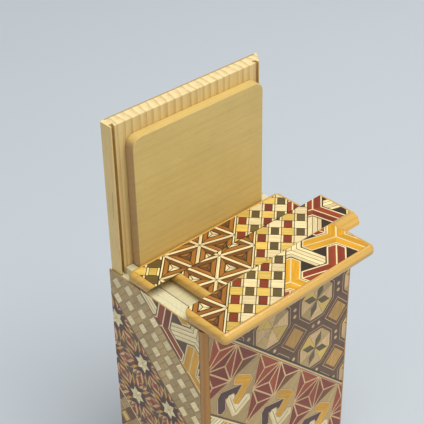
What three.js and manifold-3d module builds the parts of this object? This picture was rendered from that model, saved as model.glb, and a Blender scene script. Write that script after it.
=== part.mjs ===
// A small wooden secret box with marquetry faces, standing on one end and partly opened.
// Sizes are in millimetres. X is the box's width, Y its depth (the lid is at +Y), and Z its
// length. The origin is the middle of the face it stands on. Every piece is made where it lies
// in the closed box, and the groups at the end slide the moving ones to the open position.

import * as THREE from "three";
import { mergeVertices } from "three/addons/utils/BufferGeometryUtils.js";
import Module from "manifold-3d";

const wasm = await Module();
wasm.setup();

// ---- Driving sizes ----
const WIDTH = 84; // outside width of the body
const DEPTH = 57; // outside depth of the body
const LENGTH = 121; // closed length, over both end panels
const VENEER = 0.6; // thickness of each marquetry sheet
const GLUE = 0.02; // glue line between fixed faces
const CLEAR = 0.3; // running clearance of the pieces that slide
const RUN = 0.2; // lift between faces that slide over each other

const FRONT_BOARD = 3.4; // thickness of the front board with its sheet
const POST_ROUND = 2.1; // rounding of the front board's upright edges
const SIDE_BOARD = 2.6; // thickness of each side board without its sheet
const LEFT_LINER = 3.6; // thickness of the board inside the left side
const RIGHT_LINER = 4.9; // thickness of the board inside the right side
const END_WALL = 6; // thickness of the fixed walls at both ends

const PANEL = 5.1; // thickness of an end panel
const PANEL_ROUND = 2.4; // radius of its half-round edge
const PANEL_CORNER = 0.6; // radius of its marquetry's corners
const PANEL_PROUD = 0.5; // how far its rounded ends stand out of the side faces
const SOLE = 1.8; // thickness of the board that joins the two halves of the panel
const SOLE_LAP_FRONT = 1.8; // how far the sole reaches under the front half
const SOLE_LAP_BACK = 4; // how far the sole reaches under the back half
const OVERTRAVEL = 1.5; // travel left between the open panel and its stop
const STRIP_FLARE = 4.7; // how much wider the key strip is below than above, on each side
const STRIP_PULLED = 12.5; // how far the key strip is pulled out

const LID_BOARD = 6.7; // thickness of the lid's outer board with its sheet
const LID_ROUND = 1; // rounding of the lid's left upright edge
const LID_MITRE = 5.2; // how much narrower the lid is inside than outside, at the right
const LID_MARGIN = 2.1; // natural border beside the lid's marquetry
const LID_RAISED = 68; // how far the lid is pulled up
const PLUG = 4.7; // thickness of the board inside the lid
const PLUG_GAP = 0.3; // gap between this board and the liners
const PLUG_INSET = 6.1; // how far this board stops short of the lid's ends
const PLUG_ROUND = 4.5; // radius of its corners
const PLUG_EASE = 0.5; // small bevel round its faces

const RAIL_HEIGHT = 3; // height of the rail stubs that guide the end panel
const KERF_LIP = 0.6; // wood between the lid's left edge and its groove
const KERF = 1.3; // width of the groove's mouth
const KERF_DEPTH = 2.2; // depth of the groove
const KERF_FLARE = 0.6; // how much the groove widens inwards

const OVERCUT = 5; // how far a cutting block runs past the sides of what it cuts
const SKIM = 1; // how far it runs past a face that it opens, or into what it joins
const EDGE_STEPS = 5; // facets in an end panel's half-round edge
const CORNER_STEPS = 3; // facets in its corners
const POST_STEPS = 4; // facets in a quarter of an upright round edge
const PLUG_EDGE_STEPS = 2; // facets in the bevel of the lid's inner board
const PLUG_CORNER_STEPS = 6; // facets in its corners

// ---- Sizes that follow ----
const LEFT = -WIDTH / 2;
const RIGHT = WIDTH / 2;
const FRONT = -DEPTH / 2;
const BACK = DEPTH / 2;
const LID_DEPTH = LID_BOARD + PLUG;
const PANEL_SLIDE = LID_DEPTH + RUN; // the end panel clears the lid by sliding this far
const CORE_BOTTOM = PANEL + GLUE;
const PANEL_UNDERSIDE = LENGTH - PANEL;
const CORE_TOP = PANEL_UNDERSIDE - RUN;
const CORE_LENGTH = CORE_TOP - CORE_BOTTOM;

const FRONT_INNER = FRONT + FRONT_BOARD; // inner face of the front board
const SIDE_FRONT = FRONT_INNER + GLUE; // where the side boards start
const LID_INNER = BACK - LID_BOARD; // inner face of the lid's board
const WALL_BACK = LID_INNER - CLEAR; // where the walls end, behind the lid
const LEFT_SHEET = LEFT + VENEER; // inner face of the left marquetry sheet
const RIGHT_SHEET = RIGHT - VENEER;
const LEFT_LINER_OUT = LEFT_SHEET + SIDE_BOARD + GLUE;
const LEFT_LINER_IN = LEFT_LINER_OUT + LEFT_LINER;
const RIGHT_LINER_OUT = RIGHT_SHEET - SIDE_BOARD - GLUE;
const RIGHT_LINER_IN = RIGHT_LINER_OUT - RIGHT_LINER;
const LID_LEFT = LEFT_SHEET + CLEAR; // left edge of the lid
const LID_RIGHT = RIGHT_SHEET - CLEAR; // right edge of the lid's outer face

const SOLE_FRONT = FRONT_INNER + CLEAR + OVERTRAVEL + PANEL_SLIDE;
const SOLE_BACK = LID_INNER - CLEAR;
const STRIP_FOOT_FRONT = SOLE_FRONT + SOLE_LAP_FRONT; // the key strip's lower edges
const STRIP_FOOT_BACK = SOLE_BACK - SOLE_LAP_BACK;

// ---- Materials ----
function wood(color, roughness) {
  return new THREE.MeshStandardMaterial({ color, roughness, metalness: 0 });
}
const EDGE_WOOD = wood(0xc79a55, 0.45);
const PALE_WOOD = wood(0xd6cda4, 0.6);
const LINER_WOOD = wood(0xb9b38a, 0.65);
const LID_WOOD = wood(0xdcca8e, 0.55);
const PLUG_WOOD = wood(0xc9a963, 0.5);
const END_MARQUETRY = wood(0xb07a35, 0.35);
const SIDE_MARQUETRY = wood(0x8d7a62, 0.4);

// ---- Shapes and solids ----
function polygon(points) {
  return new THREE.Shape(points.map(([x, y]) => new THREE.Vector2(x, y)));
}

function block(x0, x1, y0, y1, z0, z1) {
  const geometry = new THREE.BoxGeometry(x1 - x0, y1 - y0, z1 - z0);
  return geometry.translate((x0 + x1) / 2, (y0 + y1) / 2, (z0 + z1) / 2);
}

// A plan outline raised from z0 to z1.
function column(shape, z0, z1, curveSegments = POST_STEPS) {
  const geometry = new THREE.ExtrudeGeometry(shape, {
    depth: z1 - z0, bevelEnabled: false, curveSegments,
  });
  return geometry.translate(0, 0, z0);
}

// A section drawn with Y across and Z up, carried along X from x0 to x1.
function bar(section, x0, x1) {
  const geometry = new THREE.ExtrudeGeometry(section, { depth: x1 - x0, bevelEnabled: false });
  const turn = new THREE.Matrix4().makeBasis(
    new THREE.Vector3(0, 1, 0), new THREE.Vector3(0, 0, 1), new THREE.Vector3(1, 0, 0),
  );
  return geometry.applyMatrix4(turn).translate(x0, 0, 0);
}

function roundedRectangle(x0, x1, y0, y1, radius) {
  const shape = new THREE.Shape();
  shape.absarc(x1 - radius, y1 - radius, radius, 0, Math.PI / 2);
  shape.absarc(x0 + radius, y1 - radius, radius, Math.PI / 2, Math.PI);
  shape.absarc(x0 + radius, y0 + radius, radius, Math.PI, Math.PI * 1.5);
  shape.absarc(x1 - radius, y0 + radius, radius, Math.PI * 1.5, Math.PI * 2);
  return shape;
}

function solid(geometry) {
  const bare = geometry.index ? geometry.toNonIndexed() : geometry.clone();
  bare.deleteAttribute("normal");
  bare.deleteAttribute("uv");
  const merged = mergeVertices(bare);
  return new wasm.Manifold(new wasm.Mesh({
    numProp: 3,
    vertProperties: new Float32Array(merged.attributes.position.array),
    triVerts: new Uint32Array(merged.index.array),
  }));
}

function surface(manifold) {
  const mesh = manifold.getMesh();
  const geometry = new THREE.BufferGeometry();
  geometry.setAttribute("position", new THREE.BufferAttribute(mesh.vertProperties, 3));
  geometry.setIndex(new THREE.BufferAttribute(mesh.triVerts, 1));
  geometry.computeVertexNormals();
  return geometry;
}

function cut(geometry, ...tools) {
  return surface(tools.reduce((left, tool) => left.subtract(solid(tool)), solid(geometry)));
}

function common(geometry, tool) {
  return surface(solid(geometry).intersect(solid(tool)));
}

function add(group, name, geometry, material) {
  const mesh = new THREE.Mesh(geometry, material);
  mesh.name = name;
  group.add(mesh);
}

// ---- End panels: a board with half-round edges and a sheet let into its outer face ----
const PANEL_LEFT = LEFT - PANEL_PROUD;
const PANEL_RIGHT = RIGHT + PANEL_PROUD;
const SHEET_LEFT = PANEL_LEFT + PANEL_ROUND;
const SHEET_RIGHT = PANEL_RIGHT - PANEL_ROUND;
const SHEET_FRONT = FRONT + PANEL_ROUND;
const SHEET_BACK = BACK - PANEL_ROUND;

function panelBoard(sheetBottom, sheetTop) {
  const flat = roundedRectangle(SHEET_LEFT, SHEET_RIGHT, SHEET_FRONT, SHEET_BACK, PANEL_CORNER);
  const board = new THREE.ExtrudeGeometry(flat, {
    depth: PANEL - 2 * PANEL_ROUND,
    bevelThickness: PANEL_ROUND,
    bevelSize: PANEL_ROUND,
    bevelSegments: EDGE_STEPS,
    curveSegments: CORNER_STEPS,
  }).translate(0, 0, PANEL_ROUND);
  const recess = block(SHEET_LEFT, SHEET_RIGHT, SHEET_FRONT, SHEET_BACK, sheetBottom, sheetTop);
  return cut(board, recess);
}

function bottomPanel(group) {
  add(group, "bottom_panel", panelBoard(-SKIM, VENEER), EDGE_WOOD);
  const sheet = block(
    SHEET_LEFT + GLUE, SHEET_RIGHT - GLUE, SHEET_FRONT + GLUE, SHEET_BACK - GLUE,
    0, VENEER - GLUE,
  );
  add(group, "bottom_marquetry", sheet, END_MARQUETRY);
}

// The cuts between the panel's halves and the key strip slope, so the strip can't lift out.
// Each zone is a section in Y and Z over the panel's thickness, a little taller than it.
function sloped(foot, direction) {
  const spread = STRIP_FLARE / PANEL;
  return [
    [foot - direction * spread * SKIM, -SKIM],
    [foot + direction * spread * (PANEL + SKIM), PANEL + SKIM],
  ];
}

function frontZone() {
  const [low, high] = sloped(STRIP_FOOT_FRONT - CLEAR / 2, 1);
  return polygon([[FRONT - OVERCUT, low[1]], low, high, [FRONT - OVERCUT, high[1]]]);
}

function stripZone() {
  const [frontLow, frontHigh] = sloped(STRIP_FOOT_FRONT + CLEAR / 2, 1);
  const [backLow, backHigh] = sloped(STRIP_FOOT_BACK - CLEAR / 2, -1);
  return polygon([frontLow, backLow, backHigh, frontHigh]);
}

function backZone() {
  const [low, high] = sloped(STRIP_FOOT_BACK + CLEAR / 2, -1);
  return polygon([low, [BACK + OVERCUT, low[1]], [BACK + OVERCUT, high[1]], high]);
}

function topSheet() {
  return block(
    SHEET_LEFT + GLUE, SHEET_RIGHT - GLUE, SHEET_FRONT + GLUE, SHEET_BACK - GLUE,
    PANEL - VENEER + GLUE, PANEL,
  );
}

function zoneBar(zone) {
  return bar(zone, PANEL_LEFT - OVERCUT, PANEL_RIGHT + OVERCUT);
}

function railGrooves() {
  const front = BACK - PANEL_SLIDE;
  return [[LEFT_LINER_OUT, LEFT_LINER_IN], [RIGHT_LINER_IN, RIGHT_LINER_OUT]].map(
    ([x0, x1]) => block(
      x0 - CLEAR, x1 + CLEAR, front, BACK + OVERCUT, -SKIM, RAIL_HEIGHT + CLEAR - RUN,
    ),
  );
}

function endPanel() {
  const group = new THREE.Group();
  const board = panelBoard(PANEL - VENEER, PANEL + SKIM);
  const raise = (geometry) => geometry.translate(0, 0, PANEL_UNDERSIDE);
  add(group, "end_panel_front", raise(common(board, zoneBar(frontZone()))), EDGE_WOOD);
  add(group, "end_marquetry_front", raise(common(topSheet(), zoneBar(frontZone()))), END_MARQUETRY);
  const backHalf = cut(common(board, zoneBar(backZone())), ...railGrooves());
  add(group, "end_panel_back", raise(backHalf), EDGE_WOOD);
  add(group, "end_marquetry_back", raise(common(topSheet(), zoneBar(backZone()))), END_MARQUETRY);
  const sole = block(
    LEFT_LINER_IN + CLEAR, RIGHT_LINER_IN - CLEAR, SOLE_FRONT, SOLE_BACK,
    PANEL_UNDERSIDE - SOLE, PANEL_UNDERSIDE - GLUE,
  );
  add(group, "end_panel_sole", sole, PALE_WOOD);
  return group;
}

function keyStrip() {
  const group = new THREE.Group();
  const board = panelBoard(PANEL - VENEER, PANEL + SKIM);
  const lifted = block(
    PANEL_LEFT - OVERCUT, PANEL_RIGHT + OVERCUT, FRONT - OVERCUT, BACK + OVERCUT, -SKIM, RUN,
  );
  const raise = (geometry) => geometry.translate(0, 0, PANEL_UNDERSIDE);
  add(group, "key_strip", raise(cut(common(board, zoneBar(stripZone())), lifted)), EDGE_WOOD);
  add(group, "key_strip_marquetry", raise(common(topSheet(), zoneBar(stripZone()))), END_MARQUETRY);
  return group;
}

// ---- Body ----
function frontBoard(group) {
  const left = LEFT + POST_ROUND;
  const right = RIGHT - POST_ROUND;
  const plan = new THREE.Shape();
  plan.moveTo(RIGHT, FRONT_INNER);
  plan.lineTo(LEFT, FRONT_INNER);
  plan.absarc(left, FRONT + POST_ROUND, POST_ROUND, Math.PI, Math.PI * 1.5);
  plan.lineTo(left, FRONT + VENEER);
  plan.lineTo(right, FRONT + VENEER);
  plan.absarc(right, FRONT + POST_ROUND, POST_ROUND, Math.PI * 1.5, Math.PI * 2);
  add(group, "front_board", column(plan, CORE_BOTTOM, CORE_TOP), EDGE_WOOD);
  const sheet = block(
    left + GLUE, right - GLUE, FRONT, FRONT + VENEER - GLUE, CORE_BOTTOM, CORE_TOP,
  );
  add(group, "front_marquetry", sheet, SIDE_MARQUETRY);
}

function sideMarquetry(group) {
  add(group, "left_marquetry",
    block(LEFT, LEFT_SHEET - GLUE, SIDE_FRONT, BACK, CORE_BOTTOM, CORE_TOP), SIDE_MARQUETRY);
  add(group, "right_marquetry",
    block(RIGHT_SHEET + GLUE, RIGHT, SIDE_FRONT, BACK, CORE_BOTTOM, CORE_TOP), SIDE_MARQUETRY);
}

// The groove in the lid for a wall's tongue. It widens inwards to one side, which keeps the
// lid on its walls. edge is the side that is square, and toward is 1 or -1, the side that widens.
function kerfOutline(edge, toward, ease) {
  const mouth = edge + toward * KERF;
  return [
    [edge + toward * ease, LID_INNER - 2 * CLEAR],
    [mouth - toward * ease, LID_INNER - 2 * CLEAR],
    [mouth - toward * ease, LID_INNER],
    [mouth + toward * (KERF_FLARE - ease), LID_INNER + KERF_DEPTH - ease],
    [edge + toward * ease, LID_INNER + KERF_DEPTH - ease],
  ];
}

const LEFT_KERF_EDGE = LID_LEFT + KERF_LIP;
const LID_INNER_RIGHT = LID_RIGHT - LID_MITRE;
const RIGHT_KERF_EDGE = LID_INNER_RIGHT - CLEAR;

function leftWall(group) {
  const board = column(polygon([
    [LEFT_SHEET, SIDE_FRONT], [LEFT_LINER_OUT - GLUE, SIDE_FRONT],
    [LEFT_LINER_OUT - GLUE, WALL_BACK], [LEFT_SHEET, WALL_BACK],
  ]), CORE_BOTTOM, CORE_TOP);
  const tongue = column(polygon(kerfOutline(LEFT_KERF_EDGE, 1, CLEAR)), CORE_BOTTOM, CORE_TOP);
  add(group, "left_side_board", surface(solid(board).add(solid(tongue))), PALE_WOOD);
  const liner = block(
    LEFT_LINER_OUT, LEFT_LINER_IN, SIDE_FRONT, WALL_BACK, CORE_BOTTOM, CORE_TOP,
  );
  add(group, "left_liner", railed(liner, LEFT_LINER_OUT, LEFT_LINER_IN), LINER_WOOD);
}

// A liner with the low rail on its upper end, behind the open end panel.
function railed(liner, x0, x1) {
  const front = BACK - PANEL_SLIDE + CLEAR;
  const rail = block(x0, x1, front, WALL_BACK, CORE_TOP - SKIM, PANEL_UNDERSIDE + RAIL_HEIGHT - RUN);
  return surface(solid(liner).add(solid(rail)));
}

// The right wall ends in a slope that follows the lid's mitred edge.
function mitreX(y) {
  return LID_INNER_RIGHT + CLEAR + ((y - LID_INNER) * LID_MITRE) / LID_BOARD;
}
function mitreY(x) {
  return LID_INNER + ((x - LID_INNER_RIGHT - CLEAR) * LID_BOARD) / LID_MITRE;
}

function rightWall(group) {
  const board = column(polygon([
    [RIGHT_LINER_OUT + GLUE, SIDE_FRONT], [RIGHT_SHEET, SIDE_FRONT],
    [RIGHT_SHEET, mitreY(RIGHT_SHEET)], [RIGHT_LINER_OUT + GLUE, mitreY(RIGHT_LINER_OUT)],
  ]), CORE_BOTTOM, CORE_TOP);
  add(group, "right_side_board", board, PALE_WOOD);
  const liner = column(polygon([
    [RIGHT_LINER_IN, SIDE_FRONT], [RIGHT_LINER_OUT, SIDE_FRONT],
    [RIGHT_LINER_OUT, mitreY(RIGHT_LINER_OUT)], [mitreX(WALL_BACK), WALL_BACK],
    [RIGHT_LINER_IN, WALL_BACK],
  ]), CORE_BOTTOM, CORE_TOP);
  const tongue = column(polygon(kerfOutline(RIGHT_KERF_EDGE, -1, CLEAR)), CORE_BOTTOM, CORE_TOP);
  const tongued = surface(solid(liner).add(solid(tongue)));
  add(group, "right_liner", railed(tongued, RIGHT_LINER_IN, RIGHT_LINER_OUT), LINER_WOOD);
}

function endWalls(group) {
  const x0 = LEFT_LINER_IN + GLUE;
  const x1 = RIGHT_LINER_IN - GLUE;
  const back = BACK - LID_DEPTH - CLEAR;
  const top = PANEL_UNDERSIDE - SOLE - RUN;
  add(group, "top_end_wall",
    block(x0, x1, SIDE_FRONT, back, top - END_WALL, top), PALE_WOOD);
  add(group, "bottom_end_wall",
    block(x0, x1, SIDE_FRONT, back, CORE_BOTTOM, CORE_BOTTOM + END_WALL), PALE_WOOD);
}

// ---- Lid: a board with its sheet and an inner board with rounded corners ----
function lid() {
  const group = new THREE.Group();
  const bottom = CORE_BOTTOM + RUN;
  const left = LID_LEFT + LID_MARGIN;
  const right = LID_RIGHT - LID_MARGIN;
  const plan = new THREE.Shape();
  plan.moveTo(LID_LEFT, LID_INNER);
  plan.lineTo(LID_INNER_RIGHT, LID_INNER);
  plan.lineTo(LID_RIGHT - CLEAR, BACK - CLEAR);
  plan.lineTo(LID_RIGHT - CLEAR, BACK);
  plan.lineTo(right, BACK);
  plan.lineTo(right, BACK - VENEER);
  plan.lineTo(left, BACK - VENEER);
  plan.lineTo(left, BACK);
  plan.absarc(LID_LEFT + LID_ROUND, BACK - LID_ROUND, LID_ROUND, Math.PI / 2, Math.PI);
  const kerfs = [[LEFT_KERF_EDGE, 1], [RIGHT_KERF_EDGE, -1]].map(
    ([edge, toward]) => column(polygon(kerfOutline(edge, toward, 0)), bottom - OVERCUT, CORE_TOP + OVERCUT),
  );
  add(group, "lid_board", cut(column(plan, bottom, CORE_TOP), ...kerfs), LID_WOOD);
  add(group, "lid_marquetry",
    block(left + GLUE, right - GLUE, BACK - VENEER + GLUE, BACK, bottom, CORE_TOP), SIDE_MARQUETRY);
  add(group, "lid_inner_board", plug(), PLUG_WOOD);
  return group;
}

function plug() {
  const outline = roundedRectangle(
    LEFT_LINER_IN + PLUG_GAP + PLUG_EASE, RIGHT_LINER_IN - PLUG_GAP - PLUG_EASE,
    CORE_BOTTOM + PLUG_INSET + PLUG_EASE, CORE_TOP - PLUG_INSET - PLUG_EASE,
    PLUG_ROUND - PLUG_EASE,
  );
  const geometry = new THREE.ExtrudeGeometry(outline, {
    depth: PLUG - GLUE - 2 * PLUG_EASE,
    bevelThickness: PLUG_EASE,
    bevelSize: PLUG_EASE,
    bevelSegments: PLUG_EDGE_STEPS,
    curveSegments: PLUG_CORNER_STEPS,
  });
  return geometry.rotateX(Math.PI / 2).translate(0, LID_INNER - GLUE - PLUG_EASE, 0);
}

// ---- The box ----
const box = new THREE.Group();
bottomPanel(box);
frontBoard(box);
sideMarquetry(box);
leftWall(box);
rightWall(box);
endWalls(box);

const raisedLid = lid();
raisedLid.position.z = LID_RAISED;
box.add(raisedLid);

const openPanel = endPanel();
openPanel.position.y = -PANEL_SLIDE;
box.add(openPanel);

const pulledStrip = keyStrip();
pulledStrip.position.x = STRIP_PULLED;
openPanel.add(pulledStrip);

export default box;
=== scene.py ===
"""Dresses a small sliding secret box in marquetry and natural wood, and sets its stage."""

import math
import random
from collections import namedtuple
from types import SimpleNamespace

import bmesh
import bpy
from bpy.props import FloatProperty, FloatVectorProperty, IntProperty, PointerProperty
from mathutils import Matrix, Vector


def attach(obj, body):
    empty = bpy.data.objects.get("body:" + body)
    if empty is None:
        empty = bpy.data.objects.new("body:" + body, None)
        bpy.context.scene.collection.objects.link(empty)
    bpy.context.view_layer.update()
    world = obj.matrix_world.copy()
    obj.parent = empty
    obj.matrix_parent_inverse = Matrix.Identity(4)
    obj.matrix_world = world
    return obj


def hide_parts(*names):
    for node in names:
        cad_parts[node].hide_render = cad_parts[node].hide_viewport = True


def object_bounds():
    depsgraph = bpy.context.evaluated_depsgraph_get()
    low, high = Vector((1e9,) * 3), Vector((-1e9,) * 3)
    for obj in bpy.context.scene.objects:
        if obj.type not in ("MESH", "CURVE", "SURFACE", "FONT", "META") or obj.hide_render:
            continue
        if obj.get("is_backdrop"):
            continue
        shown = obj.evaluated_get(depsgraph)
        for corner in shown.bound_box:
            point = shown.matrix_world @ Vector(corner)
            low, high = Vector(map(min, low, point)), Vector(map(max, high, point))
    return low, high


bl_info = {
    "name": "Marquetry Secret Box",
    "version": (1, 0, 0),
    "blender": (4, 5, 0),
    "location": "3D View > Sidebar > Secret Box",
    "description": "Dresses a sliding secret box in marquetry and natural wood",
    "category": "Object",
}

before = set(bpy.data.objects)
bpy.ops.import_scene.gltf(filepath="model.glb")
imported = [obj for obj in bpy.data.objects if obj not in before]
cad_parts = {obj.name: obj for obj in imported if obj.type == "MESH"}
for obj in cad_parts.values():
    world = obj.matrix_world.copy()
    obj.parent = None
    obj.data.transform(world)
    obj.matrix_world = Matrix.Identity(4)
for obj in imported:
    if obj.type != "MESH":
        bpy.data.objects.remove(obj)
CAD_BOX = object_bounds()
MM = 0.001
ROOT3 = math.sqrt(3)


# ---- Sizes and colours that a maker would change ----


def linear(shade):
    """A colour written as 0xRRGGBB, as linear red, green and blue."""
    parts = [(shade >> shift & 255) / 255 for shift in (16, 8, 0)]
    return tuple(p / 12.92 if p <= 0.04045 else ((p + 0.055) / 1.055) ** 2.4 for p in parts)


def tint(name, shade, description):
    return FloatVectorProperty(
        name=name, description=description, subtype="COLOR", size=3, min=0, max=1,
        default=linear(shade),
    )


def length(name, millimetres, description):
    return FloatProperty(
        name=name, description=description, unit="LENGTH", min=0, default=millimetres * MM,
        precision=5,
    )


def angle(name, degrees, description):
    return FloatProperty(
        name=name, description=description, subtype="ANGLE", default=math.radians(degrees),
    )


class SecretBoxWoods(bpy.types.PropertyGroup):
    """The woods that the marquetry is cut from."""

    holly: tint("Holly", 0xEFE0AE, "Cream pieces and stringing")
    straw: tint("Straw", 0xDDBE5E, "Pale yellow bars")
    gold: tint("Gold", 0xDDA51A, "Golden strips")
    orange: tint("Orange", 0xA46A26, "Orange-brown frames")
    walnut: tint("Walnut", 0x75481E, "Mid-brown pieces")
    maroon: tint("Maroon", 0x84300F, "Dark red pieces")
    rust: tint("Rust", 0x9C4218, "Rust-red pieces")
    olive: tint("Olive", 0x66552A, "Olive-brown squares")
    ebony: tint("Ebony", 0x33220F, "Near-black pieces and glue lines")
    rose: tint("Rose", 0xD8B884, "Pinkish cream stringing")
    plum: tint("Plum", 0x4E3028, "Purple-brown pieces")
    tan: tint("Tan", 0xBA9F68, "Beige grounds")
    umber: tint("Umber", 0x66482E, "Brown glue lines and frames of the sides")
    bog: tint("Bog oak", 0x3A3A26, "Green-black borders")
    amber: tint("Amber", 0xC09648, "Yellow-brown lozenges")
    shade_spread: FloatProperty(
        name="Shade spread", description="How much the pieces of one wood differ",
        subtype="FACTOR", min=0, max=1, default=0.14,
    )
    seed: IntProperty(name="Seed", description="Picks the pieces' shades", default=7)


class SecretBoxPatterns(bpy.types.PropertyGroup):
    """The sizes of the marquetry's patterns, and how far its sheets have slid."""

    line: length("Glue line", 0.3, "Width of the dark line between pieces")
    string: length("Stringing", 0.714, "Width of a pale line between pieces")
    check: length("Check", 5.3, "Side of a square of the check")
    star: length("Star triangle", 16.0, "Side of a triangle of the star pattern")
    brown_frame: length("Brown frame", 1.7, "Width of the star pattern's brown frames")
    pale_frame: length("Pale frame", 0.72, "Half the width of the star pattern's pale frames")
    arm_pitch: length("Arm pitch", 21.0, "Distance between the crossings of the arms")
    arm: length("Arm", 8.2, "Width of a locked arm")
    hemp: length("Hemp leaf", 17.2, "Side of a hemp-leaf triangle")
    flower_pitch: length("Flower pitch", 26.2, "Distance between neighbouring flowers")
    flower: length("Flower", 18.4, "Width of a flower's octagon")
    flame: length("Flame pitch", 21.8, "Distance between neighbouring flame stars")
    end_slide: length("End slide", 11.6, "How far the end panels have slid from shut")
    strip_pull: length("Strip pull", 12.5, "How far the key strip has been pulled")


class SecretBoxFinish(bpy.types.PropertyGroup):
    """The natural woods and how they are finished."""

    honey: tint("Honey", 0xD6AC52, "Lacquered edges of the end panels")
    honey_dark: tint("Honey, late wood", 0xB4822F, "Darker lines of the lacquered edges")
    post: tint("Post", 0xB27E3A, "Upright edges of the front board")
    post_dark: tint("Post, late wood", 0x875F28, "Darker lines of the upright edges")
    lid: tint("Lid", 0xDEC384, "Pale wood of the lid")
    lid_dark: tint("Lid, late wood", 0xA98144, "Streaks in the lid")
    inner: tint("Inner board", 0xD0B66E, "Inner board of the lid")
    inner_dark: tint("Inner board, late wood", 0xBC9852, "Streaks in the inner board")
    raw: tint("Raw wood", 0xD0C8A0, "Unfinished boards inside")
    raw_dark: tint("Raw wood, late wood", 0xB4A776, "Darker lines of the unfinished boards")
    ease: length("Eased edge", 0.22, "Rounding of the boards' arrises")


class SecretBoxStage(bpy.types.PropertyGroup):
    """The camera, the lights and the floor."""

    target: FloatVectorProperty(
        name="Target", description="Point that the camera looks at", subtype="TRANSLATION",
        size=3, default=(-0.01168, -0.0005, 0.14322), precision=5,
    )
    azimuth: angle("Azimuth", -42.1, "Turn of the camera from straight ahead")
    elevation: angle("Elevation", 33.96, "Height of the camera above the level")
    roll: angle("Roll", -1.15, "Tilt of the camera")
    distance: length("Distance", 443.3, "Distance from the target")
    focal: FloatProperty(
        name="Focal length", description="Length of the lens", unit="CAMERA", default=96.6,
    )
    key: FloatProperty(name="Key light", description="Power", unit="POWER", default=18.5)
    fill: FloatProperty(name="Fill light", description="Power", unit="POWER", default=2.5)
    bounce: FloatProperty(name="Left bounce", description="Power", unit="POWER", default=2.2)
    ambient: FloatProperty(name="Ambient", description="Strength of the room's light", default=0.5)
    paper: tint("Paper", 0xC0CAD4, "Backdrop under and behind the box")


# ---- Shader wiring ----

BUMP_DEPTH = 0.1 * MM


class Socket:
    """One output of a shader node. Arithmetic on it adds Math nodes."""

    def __init__(self, shader, output):
        self.shader = shader
        self.output = output

    def _math(self, operation, first, second=0.0):
        return self.shader.node("ShaderNodeMath", {"operation": operation}, {0: first, 1: second})

    def __add__(self, other):
        return self._math("ADD", self, other)

    def __radd__(self, other):
        return self._math("ADD", other, self)

    def __sub__(self, other):
        return self._math("SUBTRACT", self, other)

    def __rsub__(self, other):
        return self._math("SUBTRACT", other, self)

    def __mul__(self, other):
        return self._math("MULTIPLY", self, other)

    def __rmul__(self, other):
        return self._math("MULTIPLY", other, self)

    def __truediv__(self, other):
        return self._math("DIVIDE", self, other)

    def __pow__(self, other):
        return self._math("POWER", self, other)

    def fraction(self):
        return self._math("FRACT", self)


class Shader:
    """A material while its nodes are being wired."""

    def __init__(self, name):
        self.material = bpy.data.materials.new(name)
        self.material.use_nodes = True
        self.tree = self.material.node_tree
        self.tree.nodes.clear()

    def node(self, kind, settings=None, inputs=None, output=0):
        """Adds a node, sets it up, fills or links its sockets and returns one of its outputs."""
        made = self.tree.nodes.new(kind)
        for name, value in (settings or {}).items():
            setattr(made, name, value)
        for key, value in (inputs or {}).items():
            if isinstance(value, Socket):
                self.tree.links.new(value.output, made.inputs[key])
            else:
                made.inputs[key].default_value = value
        return Socket(self, made.outputs[output]) if made.outputs else None

    def stretch(self, vector, factors):
        """A vector multiplied along X, Y and Z."""
        return self.node(
            "ShaderNodeVectorMath", {"operation": "MULTIPLY"}, {0: vector, 1: factors}
        )

    def noise(self, vector, scale, detail=2.0):
        return self.node(
            "ShaderNodeTexNoise", {}, {"Vector": vector, "Scale": scale, "Detail": detail}
        )

    def step(self, value, low, high):
        """0 below low, 1 above high and even between them."""
        return self.node(
            "ShaderNodeMapRange", {}, {"Value": value, "From Min": low, "From Max": high}
        )

    def mix(self, factor, first, second, blend="MIX"):
        settings = {"data_type": "RGBA", "blend_type": blend}
        return self.node("ShaderNodeMix", settings, {0: factor, 6: first, 7: second}, output=2)

    def components(self, vector):
        """The three components of a vector."""
        split = self.node("ShaderNodeSeparateXYZ", {}, {0: vector})
        return [Socket(self, out) for out in split.output.node.outputs]

    def finish(self, colour, roughness, height, bump, coat=0.0, coat_roughness=0.2):
        """Ends the material in a Principled shader with a bump from the given height."""
        normal = self.node(
            "ShaderNodeBump", {}, {"Height": height, "Strength": bump, "Distance": BUMP_DEPTH}
        )
        surface = self.node("ShaderNodeBsdfPrincipled", {}, {
            "Base Color": colour, "Roughness": roughness, "Normal": normal,
            "Coat Weight": coat, "Coat Roughness": coat_roughness,
        })
        self.node("ShaderNodeOutputMaterial", {}, {"Surface": surface})
        return self.material


def opaque(rgb):
    return (*rgb, 1.0)


# ---- Woods and finishes ----

X, Z = 0, 2

# Noise scales of solid wood, for each millimetre.
RING_WARP = 0.12
FIBRE = 2.6
STREAK = 0.55
PORE = 6.0
BLOTCH = 0.06
# The same for veneer.
VENEER_FIBRE = 2.4
VENEER_STREAK = 0.8
VENEER_PORE = 6.5
# The noise's scale along the grain, as a share of its scale across it.
TIMBER_DRAW = 0.045
VENEER_DRAW = 0.08
# How far the rings wander, in millimetres.
RING_WANDER = 4.0

# Tints of the end grain, which also paint light and shade on the faces across the grain: the pale
# and white ones are painted light, brightest on the lid's top, and the dark and grey ones are
# partly painted shade, on the honey ends and on the inner board's sides.
END_GRAIN_AND_SHADE = (0.82, 0.78, 0.74)
END_GRAIN_AND_LIGHT = (1.12, 1.18, 1.3)
END_GRAIN_AND_TOP_LIGHT = (1.15, 1.27, 1.6)
END_GRAIN_AND_SIDE_SHADE = (0.7, 0.62, 0.85)


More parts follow.
